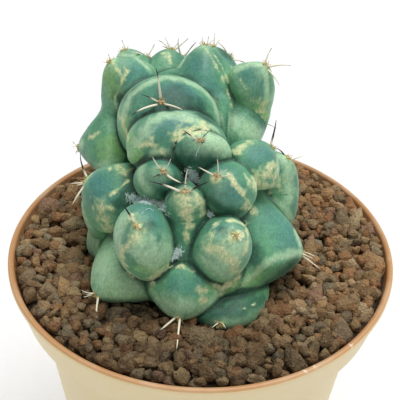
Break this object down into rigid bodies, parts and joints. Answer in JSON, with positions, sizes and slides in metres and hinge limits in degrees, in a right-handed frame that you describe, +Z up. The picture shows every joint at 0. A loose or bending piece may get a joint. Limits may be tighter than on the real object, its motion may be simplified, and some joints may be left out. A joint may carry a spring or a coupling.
{
  "type": "potted coryphantha cactus",
  "caption": "Two-headed coryphantha with fat tubercles and short spines, planted in a round tapered plastic nursery pot under a dressing of lava grit.",
  "frame": {"origin": "under the pot's axis, on the surface that the pot stands on", "axes": "+Z up; the side with the most tubercles faces -Y; +X to the right seen from there"},
  "size_m": [0.085, 0.085, 0.1184],
  "materials": {
    "pot_plastic": "moulded sand-coloured polypropylene, matte",
    "potting_mix": "dark mineral potting mix",
    "lava_grit": "porous brown lava grit",
    "cactus_skin": "waxy blue-green skin with cream spines and corky scars"
  },
  "bodies": {
    "root": {"pot": "pot_plastic", "substrate": "potting_mix", "top_grit": "lava_grit", "cactus": "cactus_skin"}
  },
  "joints": []
}
